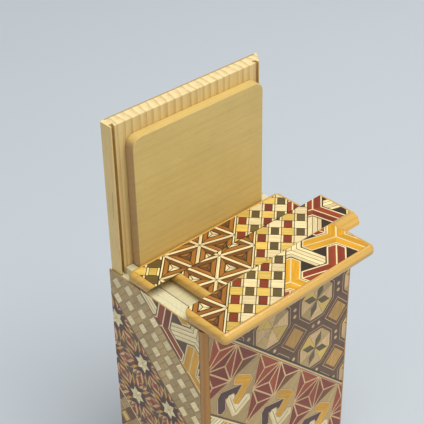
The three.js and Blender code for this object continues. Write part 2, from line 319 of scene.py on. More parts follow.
def timber(name, light, dark, along, pith, ring, ring_depth, roughness, end_grain_and_light, coat=0.0):
    """Solid wood with growth rings about a pith line.

    along is the axis that the grain runs, 0, 1 or 2. pith is where the heart of the tree lies
    on the other two axes, and ring is the rings' spacing, in millimetres. end_grain_and_light is
    the tint of the faces that cut across the grain; it also paints light on them where it is pale
    and shade where it is dark."""
    shader = Shader(name)
    place = shader.node("ShaderNodeTexCoord", output="Object")
    millimetres = shader.stretch(place, (1 / MM,) * 3)
    parts = shader.components(millimetres)
    across = [part for axis, part in enumerate(parts) if axis != along]
    side, depth = (part - centre for part, centre in zip(across, pith))
    radius = (side * side + depth * depth) ** 0.5
    drawn = shader.stretch(millimetres, [TIMBER_DRAW if k == along else 1.0 for k in range(3)])
    wandering = radius + shader.noise(drawn, RING_WARP, 1.0) * RING_WANDER
    late = (wandering / ring).fraction() ** 2.5
    fibres = shader.noise(drawn, FIBRE, 3.0)
    streaks = shader.noise(drawn, STREAK)
    pores = shader.step(shader.noise(drawn, PORE, 1.0), 0.62, 0.75)
    tone = late * ring_depth + fibres * 0.35 + streaks * 0.55 - 0.45
    body = shader.mix(shader.step(tone, 0.0, 0.75), opaque(light), opaque(dark))
    aged_tone = opaque([c * 0.82 for c in light])
    aged_share = shader.step(shader.noise(millimetres, BLOTCH), 0.4, 0.7) * 0.35
    pore_tone = opaque([c * 0.45 for c in dark])
    pored = shader.mix(pores * 0.3, shader.mix(aged_share, body, aged_tone), pore_tone)
    # Faces across the grain, picked by their normals, get the end-grain tint, which is painted
    # light and shade as well as the end grain's own colour.
    facing = shader.components(shader.node("ShaderNodeTexCoord", output="Normal"))[along]
    cut = shader.step(facing * facing, 0.5, 0.9)
    end_grain_lit = shader.mix(cut, pored, shader.mix(1.0, pored, opaque(end_grain_and_light), "MULTIPLY"))
    polish = roughness + fibres * 0.14 + pores * 0.1 - 0.07
    relief = fibres * 0.6 + late * 0.25 - pores * 0.5
    return shader.finish(end_grain_lit, polish, relief, 0.25, coat)


def veneer_lacquer(name):
    """Thin woods under lacquer. Each piece brings its own colour and grain."""
    shader = Shader(name)
    wood = shader.node("ShaderNodeAttribute", {"attribute_name": "wood"}, output="Color")
    grain = shader.node("ShaderNodeAttribute", {"attribute_name": "grain"}, output="Vector")
    drawn = shader.stretch(grain, (VENEER_DRAW, 1.0, 1.0))
    fibres = shader.noise(drawn, VENEER_FIBRE, 3.0)
    streaks = shader.noise(drawn, VENEER_STREAK)
    pores = shader.step(shader.noise(drawn, VENEER_PORE, 1.0), 0.6, 0.72)
    shade = shader.step(fibres * 0.5 + streaks * 0.5, 0.3, 0.7)
    deep = shader.mix(1.0, wood, opaque((0.72, 0.66, 0.6)), "MULTIPLY")
    light = shader.mix(1.0, wood, opaque((1.1, 1.1, 1.08)), "MULTIPLY")
    pored = shader.mix(pores * 0.35, shader.mix(shade, deep, light), deep)
    wear = shader.noise(shader.node("ShaderNodeTexCoord", output="Object"), 60.0, 4.0)
    polish = 0.3 + wear * 0.16 + pores * 0.08
    relief = fibres * 0.5 - pores * 0.5 + wear * 0.2
    return shader.finish(pored, polish, relief, 0.12, coat=0.22, coat_roughness=0.25)


def paper(name, colour):
    """Matt backdrop paper with a faint tooth."""
    shader = Shader(name)
    place = shader.node("ShaderNodeTexCoord", output="Object")
    cloud = shader.noise(place, 2.5)
    tooth = shader.noise(place, 900.0)
    tone = shader.mix(cloud, opaque([c * 0.96 for c in colour]), opaque(colour))
    return shader.finish(tone, 0.82 + tooth * 0.12, tooth, 0.05)


# ---- Boards ----

WELD = 0.002 * MM
FLAT_ENOUGH = math.radians(1)
SHARP_ENOUGH = math.radians(35)
# Shares of the usual easing, for boards that stay crisper.
CRISP, SANDED = 0.3, 0.4


def worked_board(node, body, material, ease):
    """A sanded copy of a plain board, with its arrises eased, that stands for it."""
    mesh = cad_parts[node].data.copy()
    mesh.name = f"{node}_worked"
    shape = bmesh.new()
    shape.from_mesh(mesh)
    bmesh.ops.remove_doubles(shape, verts=shape.verts, dist=WELD)
    bmesh.ops.dissolve_limit(
        shape, angle_limit=FLAT_ENOUGH, verts=shape.verts, edges=shape.edges
    )
    shape.to_mesh(mesh)
    shape.free()
    mesh.materials.clear()
    mesh.materials.append(material)
    mesh.polygons.foreach_set("use_smooth", [True] * len(mesh.polygons))
    board = bpy.data.objects.new(mesh.name, mesh)
    bpy.context.scene.collection.objects.link(board)
    bevel = board.modifiers.new("eased arrises", "BEVEL")
    bevel.width = ease
    bevel.segments = 2
    bevel.limit_method = "ANGLE"
    bevel.angle_limit = SHARP_ENOUGH
    board.modifiers.new("flat faces shade flat", "WEIGHTED_NORMAL")
    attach(board, body)
    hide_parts(node)


# ---- Marquetry: outlines, in millimetres ----

Tile = namedtuple("Tile", "outline wood grain")

SAME_LEVEL = 0.01
SHORTEST_SIDE = 0.001
# Areas below which a cut bit and a laid piece are dropped, in square millimetres.
SLIVER = 0.003
SPECK = 0.02


def polar(radius, degrees, centre=(0.0, 0.0)):
    turn = math.radians(degrees)
    return (centre[0] + radius * math.cos(turn), centre[1] + radius * math.sin(turn))


def placed(outline, centre, heading):
    """An outline turned to a heading and moved to a centre."""
    ahead = polar(1.0, heading)
    return [(centre[0] + p[0] * ahead[0] - p[1] * ahead[1],
             centre[1] + p[0] * ahead[1] + p[1] * ahead[0]) for p in outline]


def ring_of(count, radius, centre, start=0.0):
    """The corners of a regular outline about a centre."""
    return [polar(radius, start + 360 * k / count, centre) for k in range(count)]


def middle(points):
    return tuple(sum(values) / len(points) for values in zip(*points))


def area(outline):
    pairs = zip(outline, outline[1:] + outline[:1])
    return sum(p[0] * q[1] - q[0] * p[1] for p, q in pairs) / 2


def heading_of(start, end):
    return math.degrees(math.atan2(end[1] - start[1], end[0] - start[0]))


def rectangle(low, high):
    return [low, (high[0], low[1]), high, (low[0], high[1])]


def edges_of(outline):
    """Each side of a convex outline as its outward direction and how far out it lies."""
    if area(outline) < 0:
        outline = outline[::-1]
    found = []
    for p, q in zip(outline, outline[1:] + outline[:1]):
        span = math.dist(p, q)
        if span > SHORTEST_SIDE:
            out = ((q[1] - p[1]) / span, (p[0] - q[0]) / span)
            found.append((out, out[0] * p[0] + out[1] * p[1]))
    return found


def clip(outline, limits):
    """The part of a convex outline where out . point <= reach for every (out, reach)."""
    for out, reach in limits:
        over = [out[0] * p[0] + out[1] * p[1] - reach for p in outline]
        if max(over) <= 0:
            continue
        kept = []
        for k, here in enumerate(outline):
            after = outline[(k + 1) % len(outline)]
            first, second = over[k], over[(k + 1) % len(outline)]
            if first <= 0:
                kept.append(here)
            if first * second < 0:
                share = first / (first - second)
                kept.append(tuple(h + share * (a - h) for h, a in zip(here, after)))
        outline = kept
        if len(outline) < 3:
            return []
    return outline


def inset(outline, gap):
    """A convex outline moved inwards by gap. Nothing is left where there is no room."""
    return clip(outline, [(out, reach - gap) for out, reach in edges_of(outline)])


def around(outline, cutter):
    """What is left of a convex outline outside a convex cutter, as convex bits."""
    bits, rest = [], outline
    for out, reach in edges_of(cutter):
        outside = clip(rest, [((-out[0], -out[1]), -reach)])
        if outside and abs(area(outside)) > SLIVER:
            bits.append(outside)
        rest = clip(rest, [(out, reach)])
        if not rest:
            return [outline]
    return bits


def reach_of(outline):
    """The box round an outline as lowest and highest s and t."""
    s, t = zip(*outline)
    return (min(s), max(s), min(t), max(t))


def counts(low, high, start, pitch):
    """The whole numbers of pitches from start that cover low to high, and two to spare."""
    return range(math.floor((low - start) / pitch) - 2, math.ceil((high - start) / pitch) + 3)


# ---- Marquetry: patterns ----
# s runs along a band and t across it, in millimetres. A pattern takes the sizes, the box that it
# has to cover, and its own details, and yields tiles, each laid over the ones before it. start is
# where it begins, and base is the t of its lower edge.

# Shares of a cell that a square's rims take, and the width of the basket's lines.
CHECK_RIM = 0.17
BASKET_RIM = 0.09
BASKET_LINE = 0.16
# The woods of each small triangle of a hemp leaf, the middle one first.
HEMP_SHADES = (
    ["maroon", "rust", "maroon"], ["rust"], ["maroon"], ["maroon", "maroon", "walnut"],
)
# The radius and heading of each bend of a hook, and the widths of its layers.
HOOK_BENDS = ((3.4, 82), (8.7, 194), (8.2, 246))
HOOK_EDGE, HOOK_RIM, HOOK_WOOD, HOOK_LINE = 5.3, 5.0, 4.0, 0.24
FLOWER_RIMS = ((1.35, "rose"), (1.1, "umber"))
# The first petal's heading, its length and where it is widest as shares of the octagon, and how
# far its hips lean from its heading.
PETAL_TURN, PETAL_TIP, PETAL_HIP, PETAL_LEAN = 65, 0.86, 0.46, 24
# The radius, wood, turn and grain of each layer of the lozenge between flowers.
LOZENGE = (
    (7.7, "rose", 0, 45), (7.3, "umber", 0, 45), (6.8, "walnut", 0, 45), (5.6, "amber", 0, 30),
    (4.2, "amber", 45, 75),
)
DOT, DOT_STEP = 0.95, 1.7
# The woods of each ring of shards, from the middle of a star outwards.
FLAME_RINGS = (
    ["holly"], ["plum"], ["rose", "rust", "gold", "umber"],
    ["tan", "rust", "rose", "orange", "walnut"],
)


def plain_line(sizes, box, wood):
    """A band all of one wood."""
    yield Tile(rectangle((box[0], box[2]), (box[1], box[3])), wood, 0)


def wedges(outline, gap, woods):
    """An outline cut from its middle to its corners, with a gap between the wedges."""
    centre = middle(outline)
    for k, (p, q) in enumerate(zip(outline, outline[1:] + outline[:1])):
        yield Tile(inset([p, q, centre], gap), woods[k % len(woods)], heading_of(p, q))


def mitred(outline, width, gap, woods):
    """A frame of strips along the sides of a triangle, mitred at its corners."""
    centre = middle(outline)
    reach = math.dist(centre, outline[0]) - 2 * width
    inner = ring_of(3, reach, centre, heading_of(centre, outline[0]))
    for k in range(3):
        strip = [outline[k], outline[(k + 1) % 3], inner[(k + 1) % 3], inner[k]]
        sides = edges_of(strip)
        limits = [(out, reach - gap) for out, reach in sides[1:]] + sides[:1]
        yield Tile(clip(strip, limits), woods[k % len(woods)], heading_of(*strip[:2]))


def woven_check(sizes, box, start, base, columns):
    """Columns of framed squares, each a step along from the last, with bars between them."""
    cell = sizes.check
    for column, (square, rim, bar) in enumerate(columns):
        foot = base + column * cell
        between_rims = [
            ((0, 1), foot + cell * (1 - CHECK_RIM)), ((0, -1), -foot - cell * CHECK_RIM),
        ]
        for k in counts(box[0], box[1], start, cell):
            left = start + (k - 0.5) * cell
            block = inset(rectangle((left, foot), (left + cell, foot + cell)), sizes.line / 2)
            if (k + column) % 2:
                yield Tile(block, bar, 90)
            else:
                yield Tile(block, rim, 0)
                core = clip(block, between_rims)
                yield Tile(core, "ebony", 0)
                yield Tile(inset(core, sizes.line * 0.7), square, 90)


def pale_basket(sizes, box, start, base):
    """Pale squares set one step apart in a beige weave."""
    cell = sizes.check
    for column in range(4):
        foot = base + column * cell
        for k in counts(box[0], box[1], start, cell):
            left = start + (k - 0.5) * cell
            block = rectangle((left, foot), (left + cell, foot + cell))
            if (k + column) % 2:
                yield Tile(inset(block, sizes.line * 0.25), "tan", 0)
                line = left + (cell - BASKET_LINE) / 2
                bar = rectangle((line, foot), (line + BASKET_LINE, foot + cell))
                yield Tile(bar, "ebony", 90)
            else:
                yield Tile(block, "tan", 90)
                yield Tile(inset(block, cell * BASKET_RIM), "ebony", 0)
                yield Tile(inset(block, cell * BASKET_RIM + sizes.line * 0.6), "holly", 90)


def star_frames(sizes, box, start, base):
    """Two rows of framed triangles whose pale frames meet in stars."""
    side = sizes.star
    rise = side * ROOT3 / 2
    seam = sizes.line * 0.4
    for row in range(2):
        foot = base + row * rise
        for k in counts(box[0], box[1], start, side):
            left = start + (k + row / 2) * side
            apex = (left + side / 2, foot + rise)
            up = [(left, foot), (left + side, foot), apex]
            down = [apex, (left + side, foot), (left + side * 1.5, foot + rise)]
            for triangle, heart in ((up, ["walnut", "orange", "walnut"]), (down, ["holly"])):
                yield from mitred(triangle, sizes.pale_frame, seam, ["holly"])
                inner = inset(triangle, sizes.pale_frame + sizes.line)
                browns = ["orange", "walnut", "orange"]
                yield from mitred(inner, sizes.brown_frame, seam, browns)
                core = inset(inner, sizes.brown_frame + sizes.line * 0.7)
                yield from wedges(core, sizes.line * 0.6, heart)


def trimmed(sides, gap):
    """An arm's sides moved inwards by gap, but not where the arm leaves its crossing."""
    return [sides[0], *((out, reach - gap) for out, reach in sides[1:5]), sides[5]]


def locked_arms(sizes, box, start, kinds):
    """Three-armed crossings in three kinds that lock into one another.

    Each kind is the wood of an arm's rim, the woods of its strips, and the gap between them."""
    pitch, half = sizes.arm_pitch, sizes.arm / 2
    rise = pitch * ROOT3 / 2
    slope = half / ROOT3
    point = pitch - 2 * slope
    arm = [(0, 0), (slope, -half), (point - slope, -half),
           (point, 0), (point - slope, half), (slope, half)]
    sides = edges_of(arm)
    rim_outline = clip(arm, trimmed(sides, sizes.line / 2))
    for row in counts(box[2], box[3], start[1], rise):
        for k in counts(box[0], box[1], start[0] + row * pitch / 2, pitch):
            crossing = (start[0] + (k + row / 2) * pitch, start[1] + row * rise)
            rim, strips, gap = kinds[(k + 2 * row) % 3]
            strip_sides = trimmed(sides, sizes.line / 2 + gap)
            lane = 2 * half / len(strips)
            for heading in (0, 120, 240):
                yield Tile(placed(rim_outline, crossing, heading), rim, heading)
                for number, wood in enumerate(strips):
                    floor = number * lane - half
                    lanes = [((0, -1), -floor - gap / 2), ((0, 1), floor + lane - gap / 2)]
                    strip = clip(arm, strip_sides + lanes)
                    yield Tile(placed(strip, crossing, heading), wood, heading)


def hemp_leaves(sizes, box, start, base):
    """Large triangles of hemp leaf, between triangles that each hold three hooks."""
    side = sizes.hemp
    high = base + side * ROOT3
    for k in counts(box[0], box[1], start, 2 * side):
        left = start + 2 * k * side
        leaf = [(left, high), (left + side, base), (left + 2 * side, high)]
        halves = [middle([leaf[j], leaf[(j + 1) % 3]]) for j in range(3)]
        small = [halves] + [[leaf[j], halves[j], halves[j - 1]] for j in range(3)]
        for triangle, woods in zip(small, HEMP_SHADES):
            yield Tile(triangle, "rose", 0)
            yield from wedges(triangle, sizes.string / 2, woods)
        ground = [(left + side, base), (left + 3 * side, base), (left + 2 * side, high)]
        yield Tile(inset(ground, sizes.line / 2), "tan", 90)
        yield from three_hooks(middle(ground))


def three_hooks(centre):
    """Three bent strips that chase one another round a centre."""
    for turn, wood in ((0, "plum"), (120, "holly"), (240, "gold")):
        path = [polar(radius, heading + turn, centre) for radius, heading in HOOK_BENDS]
        bars = [(p, math.dist(p, q), heading_of(p, q)) for p, q in zip(path, path[1:])]
        for width, shade in ((HOOK_EDGE, "ebony"), (HOOK_RIM, "rose"), (HOOK_WOOD, wood)):
            half = width / 2
            for p, span, heading in bars:
                shoulder, tip, tail = span + half * 0.3, span + half * 0.9, -half * 0.5
                bar = [(0, -half), (shoulder, -half), (tip, 0), (shoulder, half), (0, half),
                       (tail, 0)]
                yield Tile(placed(bar, p, heading), shade, heading)
        if wood == "holly":
            for p, span, heading in bars:
                line = rectangle((0, -HOOK_LINE / 2), (span, HOOK_LINE / 2))
                yield Tile(placed(line, p, heading), "ebony", 0)


def flowers(sizes, box, plain=()):
    """Octagons with four petals on a square pitch, with small lozenges between them.

    plain holds the column and row of each octagon that has no petals."""
    pitch = sizes.flower_pitch
    radius = sizes.flower / 2 / math.cos(math.pi / 8)
    for row in counts(box[2], box[3], 0.0, pitch):
        for k in counts(box[0], box[1], 0.0, pitch):
            centre = (k * pitch, row * pitch)
            for rim, wood in FLOWER_RIMS:
                yield Tile(ring_of(8, radius + rim, centre, 22.5), wood, 0)
            octagon = ring_of(8, radius, centre, 22.5)
            yield from wedges(octagon, sizes.line * 0.2, ["tan", "rose", "straw", "rose"])
            for quarter in range(0 if (k, row) in plain else 4):
                heading = PETAL_TURN + 90 * quarter
                tip = polar(radius * PETAL_TIP, heading, centre)
                left, right = (polar(radius * PETAL_HIP, heading + lean, centre)
                               for lean in (PETAL_LEAN, -PETAL_LEAN))
                yield Tile([centre, right, tip, left], "olive", heading)
            corner = (centre[0] + pitch / 2, centre[1] + pitch / 2)
            for size, wood, turn, grain in LOZENGE:
                yield Tile(ring_of(4, size, corner, turn), wood, grain)
            for step in (-DOT_STEP, DOT_STEP):
                yield Tile(ring_of(6, DOT, (corner[0], centre[1] + step)), "rose", 0)
                yield Tile(ring_of(6, DOT, (centre[0] + step, corner[1])), "rose", 0)


def flames(sizes, box, start):
    """Six-pointed stars in rings of slender shards, so that the rings zigzag like flames."""
    pitch, rings = sizes.flame, len(FLAME_RINGS)
    edge = pitch / (2 * rings)
    rise = pitch * ROOT3 / 2
    near, far, other = polar(edge, 0), polar(edge * ROOT3, 30), polar(edge, 60)
    shards = [inset([(0.0, 0.0), *tips], sizes.line * 0.1) for tips in ((near, far), (far, other))]
    for row in counts(box[2], box[3], start[1], rise):
        for k in counts(box[0], box[1], start[0] + row * pitch / 2, pitch):
            centre = (start[0] + (k + row / 2) * pitch, start[1] + row * rise)
            for turn in range(0, 360, 60):
                for i in range(rings):
                    for j in range(rings - i):
                        step = polar(i * edge, turn, polar(j * edge, turn + 60, centre))
                        woods = FLAME_RINGS[i + j]
                        for half, shard in enumerate(shards):
                            wood = woods[(2 * i + half) % len(woods)]
                            yield Tile(placed(shard, step, turn), wood, turn + 30)


# ---- Marquetry: sheets ----

# Where a sheet's chart has its face, its back and its four edges.
CHART_EDGE, CHART_FACE = 0.002, 0.93
CHART_BACK = rectangle((0.95, 0.01), (0.97, 0.2))
CHART_WALLS = [
    rectangle((0.98, 0.01 + 0.2 * k), (0.995, 0.19 + 0.2 * k)) for k in range(4)
]


class Sheet:
    """A marquetry sheet: where its solid lies, its plan, and the pieces laid in it."""

    def __init__(self, node, across, up, sizes, seed, dark="ebony"):
        """across and up are the plan's axes on the surface. dark is the wood of its glue lines."""
        self.node = node
        self.across, self.up = Vector(across), Vector(up)
        self.out = self.across.cross(self.up)
        self.sizes = sizes
        self.dark = dark
        self.random = random.Random(f"{node} {seed}")
        places = [v.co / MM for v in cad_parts[node].data.vertices]
        self.level = max(p.dot(self.out) for p in places)
        self.floor = min(p.dot(self.out) for p in places)
        self.face = self.edge_at(places, self.level)
        self.back = self.edge_at(places, self.floor)
        self.anchor, self.turn = (0.0, 0.0), 0.0
        self.tiles = []

    def edge_at(self, places, level):
        """The corners of the solid's flat side at a level, as a rectangle in plan."""
        plan = [(p.dot(self.across), p.dot(self.up)) for p in places
                if abs(p.dot(self.out) - level) < SAME_LEVEL]
        s0, s1, t0, t1 = reach_of(plan)
        return rectangle((s0, t0), (s1, t1))

    def rule(self, anchor, turn):
        """Sets where the bands' s and t start in plan, and s's heading."""
        self.anchor, self.turn = anchor, turn

    def lay(self, pattern, bottom, top, upright=None, **details):
        """Fills the band between t = bottom and t = top with a pattern.

        upright is where a pattern starts that stands straight in plan, not along the band."""
        across = placed([(0, 1)], (0, 0), self.turn)[0]
        level = across[0] * self.anchor[0] + across[1] * self.anchor[1]
        down = (-across[0], -across[1])
        band = clip(self.face, [(across, level + top), (down, -level - bottom)])
        if not band:
            return
        start, heading = (upright, 0.0) if upright else (self.anchor, self.turn)
        back = [placed([(p[0] - start[0], p[1] - start[1])], (0, 0), -heading)[0] for p in band]
        limits = edges_of(band)
        laid = [(band, Tile(band, "ebony", self.turn), reach_of(band))]
        for tile in pattern(self.sizes, reach_of(back), **details):
            if len(tile.outline) < 3:
                continue
            outline = clip(placed(tile.outline, start, heading), limits)
            if not outline or abs(area(outline)) < SPECK:
                continue
            box = reach_of(outline)
            kept = []
            for piece in laid:
                other = piece[2]
                if (other[0] >= box[1] or other[1] <= box[0]
                        or other[2] >= box[3] or other[3] <= box[2]):
                    kept.append(piece)
                else:
                    kept.extend(
                        (bit, piece[1], reach_of(bit)) for bit in around(piece[0], outline)
                    )
            whole = Tile(outline, tile.wood, tile.grain + heading)
            kept.append((outline, whole, box))
            laid = kept
        shades = {}
        for outline, whole, _ in laid:
            if id(whole) not in shades:
                shades[id(whole)] = (self.random.uniform(-1, 1), self.random.uniform(0, 400))
            self.tiles.append((outline, whole, *shades[id(whole)]))

    def line(self, bottom, top, wood):
        """A line of stringing along the bands, between t = bottom and t = top."""
        self.lay(plain_line, bottom, top, wood=wood)

    def build(self, body, material, woods):
        """Makes the sheet as one flat mesh that stands for its plain solid."""
        corners, faces, colours, grains, charts = [], [], [], [], []
        origin = self.face[0]
        span = max(b - a for a, b in zip(origin, self.face[2]))

        def add(outline, levels, colour, grain, chart):
            faces.append(range(len(corners), len(corners) + len(outline)))
            for place, level in zip(outline, levels):
                at = self.across * place[0] + self.up * place[1] + self.out * level
                corners.append(at * MM)
            colours.extend(opaque(colour) * len(outline))
            grains.extend(part for place in grain for part in place)
            charts.extend(part for place in chart for part in place)

        for outline, whole, shade, offset in self.tiles:
            outline = outline if area(outline) > 0 else outline[::-1]
            wood = self.dark if whole.wood == "ebony" else whole.wood
            tone = 1 + woods.shade_spread * shade
            colour = [min(1, c * tone) for c in getattr(woods, wood)]
            turned = placed(outline, (offset, offset), -whole.grain)
            chart = [
                tuple(CHART_EDGE + CHART_FACE * (v - low) / span for v, low in zip(p, origin))
                for p in outline
            ]
            grain = [(s, t, offset) for s, t in turned]
            add(outline, [self.level] * len(outline), colour, grain, chart)
        foot = [(s, t, 0.0) for s, t in self.back]
        add(self.back[::-1], [self.floor] * 4, woods.tan, foot[::-1], CHART_BACK)
        for k, chart in enumerate(CHART_WALLS):
            after = (k + 1) % 4
            wall = [self.back[k], self.back[after], self.face[after], self.face[k]]
            levels = [self.floor, self.floor, self.level, self.level]
            add(wall, levels, woods.tan, [(s, t, 0.0) for s, t in wall], chart)
        mesh = bpy.data.meshes.new(f"{self.node}_pieces")
        mesh.from_pydata(corners, [], faces)
        mesh.materials.append(material)
        for name, kind, key, values in (("wood", "FLOAT_COLOR", "color", colours),
                                        ("grain", "FLOAT_VECTOR", "vector", grains)):
            mesh.attributes.new(name, kind, "CORNER").data.foreach_set(key, values)
        mesh.uv_layers.new(name="OFBake").data.foreach_set("uv", charts)
        sheet = bpy.data.objects.new(mesh.name, mesh)
        bpy.context.scene.collection.objects.link(sheet)
        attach(sheet, body)
        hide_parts(self.node)


# ---- Marquetry: what goes where ----

# The squares, rims and bars of each column of a check.
WARM_CHECK = [("olive", "holly", "holly"), ("maroon", "holly", "straw")] * 2
STRAW_CHECK = [("straw", "holly", "olive"), ("olive", "holly", "straw")] * 2
TAN_CHECK = [("straw", "tan", "amber"), ("tan", "rose", "walnut")] * 6

GOLD_ARMS = ("holly", ["gold", "gold"], 0.6)
RED_ARMS = ("holly", ["maroon", "rust"], 0.6)
PALE_ARMS = ("ebony", ["holly"] * 4, 0.25)
GOLD_FIRST = [GOLD_ARMS, PALE_ARMS, RED_ARMS]
RED_FIRST = [RED_ARMS, GOLD_ARMS, PALE_ARMS]

# The bands' headings, and the widths of the lines between them. FAR is past any sheet's edge.
END_TURN, SIDE_TURN = 43.0, -44.0
HAIR, THIN, FINE, BROAD, WIDE = 0.3, 0.4, 0.5, 0.7, 0.9
FAR = 300.0


def lay_end(sheet, slid=(0.0, 0.0), arms_line=THIN):
    """An end panel, at the top or the foot: locked arms, woven check, stars and check.

    slid is how far the sheet has moved in plan from where its bands meet the other sheets'."""
    sheet.rule(slid, END_TURN)
    stars, first_star = 8.3, -32.4
    low = stars - 4 * sheet.sizes.check
    top = stars + sheet.sizes.star * ROOT3
    sheet.lay(locked_arms, -FAR, low - arms_line, start=(16.4, -33.3), kinds=GOLD_FIRST)
    sheet.line(low - arms_line, low, "ebony")
    sheet.lay(woven_check, low, stars - THIN, start=first_star, base=low, columns=WARM_CHECK)
    sheet.line(stars - THIN, stars, "ebony")
    sheet.lay(star_frames, stars, top, start=first_star, base=stars)
    sheet.line(top, top + THIN, "ebony")
    top += THIN
    sheet.lay(woven_check, top, FAR, start=first_star, base=top, columns=STRAW_CHECK)


def lay_front(sheet):
    """The front: flowers above, hemp leaves across the middle and locked arms below."""
    sheet.rule((-25.6, 103.0), SIDE_TURN)
    low = -1.0 - sheet.sizes.hemp * ROOT3
    sheet.lay(flowers, WIDE, FAR, upright=(20.4, 71.9), plain=[(-1, 1)])
    sheet.line(0.0, WIDE, "bog")
    sheet.line(-BROAD, 0.0, "rose")
    sheet.lay(hemp_leaves, low, -BROAD, start=-15.25, base=low)
    sheet.line(low - BROAD, low, "ebony")
    sheet.line(low - 2 * BROAD, low - BROAD, "holly")
    sheet.lay(locked_arms, -FAR, low - 2 * BROAD, start=(10.0, low - 13.0), kinds=RED_FIRST)


def lay_left(sheet):
    """The left side: locked arms, a pale basket, flames and a tan check."""
    sheet.rule((-8.9, 114.7), SIDE_TURN)
    edge, flame_band, tan_band = 0.4, 37.0, 64.9
    basket = -4 * sheet.sizes.check
    flame = basket - flame_band
    sheet.lay(locked_arms, edge, FAR, start=(15.7, 1.7), kinds=RED_FIRST)
    sheet.line(edge - FINE, edge, "ebony")
    sheet.lay(pale_basket, basket, edge - FINE, start=18.2, base=basket)
    sheet.line(basket - BROAD, basket, "ebony")
    sheet.lay(flames, flame, basket - BROAD, start=(25.3, -28.8))
    sheet.line(flame - BROAD, flame, "holly")
    foot = flame - tan_band
    sheet.lay(woven_check, -FAR, flame - BROAD, start=0.0, base=foot, columns=TAN_CHECK)


def lay_right(sheet):
    """The right side: locked arms, hemp leaves, a woven check and flowers."""
    sheet.rule((-10.0, 96.0), SIDE_TURN)
    check = 4 * sheet.sizes.check
    leaves = check + THIN
    high = leaves + sheet.sizes.hemp * ROOT3
    sheet.lay(locked_arms, high + FINE, FAR, start=(0.0, high + 6.0), kinds=GOLD_FIRST)
    sheet.line(high, high + FINE, "ebony")
    sheet.lay(hemp_leaves, leaves, high, start=0.0, base=leaves)
    sheet.line(check, leaves, "ebony")
    sheet.lay(woven_check, 0.0, check, start=0.0, base=0.0, columns=WARM_CHECK)
    sheet.line(-WIDE, 0.0, "holly")
    sheet.lay(flowers, -FAR, -WIDE, upright=(4.0, 60.0))


def lay_lid(sheet):
    """The lid: flowers, stars, a woven check, locked arms, hemp leaves and flames."""
    sheet.rule((-8.0, 150.0), SIDE_TURN)
    check = 4 * sheet.sizes.check
    stars = check + THIN
    high = stars + sheet.sizes.star * ROOT3
    arms = -38.0
    leaves = arms - BROAD
    low = leaves - sheet.sizes.hemp * ROOT3
    sheet.lay(flowers, high + WIDE, FAR, upright=(-20.0, 168.0))
    sheet.line(high, high + WIDE, "holly")
    sheet.lay(star_frames, stars, high, start=0.0, base=stars)
    sheet.line(check, stars, "ebony")
    sheet.lay(woven_check, 0.0, check, start=0.0, base=0.0, columns=WARM_CHECK)
    sheet.line(-BROAD, 0.0, "ebony")
    sheet.lay(locked_arms, arms, -BROAD, start=(6.0, -16.0), kinds=RED_FIRST)
    sheet.line(leaves, arms, "holly")
    sheet.lay(hemp_leaves, low, leaves, start=5.0, base=low)
    sheet.line(low - BROAD, low, "ebony")
    sheet.lay(flames, -FAR, low - BROAD, start=(0.0, low - 12.0))


# ---- Operators ----


def pattern_sizes(scene):
    """The pattern sizes in millimetres."""
    group = scene.secret_box_patterns
    return SimpleNamespace(**{n: getattr(group, n) / MM for n in type(group).__annotations__})


class SECRETBOX_OT_end_boards(bpy.types.Operator):
    """Dresses the end panels, the one at the foot too, and the key strip in honey lacquer"""

    bl_idname = "secret_box.end_boards"
    bl_label = "End panels and key strip"

    def execute(self, context):
        finish = context.scene.secret_box_finish
        # The honey's dark end-grain tint is partly painted shade on the panels' and strip's ends.
        honey = timber(
            "Honey lacquer", finish.honey, finish.honey_dark, along=X, pith=(-60.0, 40.0),
            ring=2.6, ring_depth=0.4, roughness=0.3, end_grain_and_light=END_GRAIN_AND_SHADE, coat=0.4,
        )
        for node, body in (
            ("end_panel_front", "end_panel"), ("end_panel_back", "end_panel"),
            ("key_strip", "key_strip"), ("bottom_panel", "case"),
        ):
            worked_board(node, body, honey, finish.ease)
        return {"FINISHED"}


class SECRETBOX_OT_case_boards(bpy.types.Operator):
    """Dresses the boards of the case, the front's upright edges among them"""

    bl_idname = "secret_box.case_boards"
    bl_label = "Case boards"

    def execute(self, context):
        finish = context.scene.secret_box_finish
        post = timber(
            "Post wood", finish.post, finish.post_dark, along=Z, pith=(-70.0, 30.0), ring=2.2,
            ring_depth=0.4, roughness=0.36, end_grain_and_light=END_GRAIN_AND_SHADE, coat=0.25,
        )
        # The raw boards' pale end-grain tint is painted light on the faces across their grain.
        raw = timber(
            "Raw side wood", finish.raw, finish.raw_dark, along=Z, pith=(-90.0, 50.0), ring=1.8,
            ring_depth=0.2, roughness=0.62, end_grain_and_light=END_GRAIN_AND_LIGHT,
        )
        cross = timber(
            "Raw end wood", finish.raw, finish.raw_dark, along=X, pith=(-80.0, 60.0), ring=2.0,
            ring_depth=0.2, roughness=0.62, end_grain_and_light=END_GRAIN_AND_LIGHT,
        )
        worked_board("front_board", "case", post, finish.ease)
        for node in ("left_side_board", "left_liner", "right_side_board", "right_liner"):
            worked_board(node, "case", raw, finish.ease * CRISP)
        for node, body in (
            ("top_end_wall", "case"), ("bottom_end_wall", "case"), ("end_panel_sole", "end_panel"),
        ):
            worked_board(node, body, cross, finish.ease)
        return {"FINISHED"}


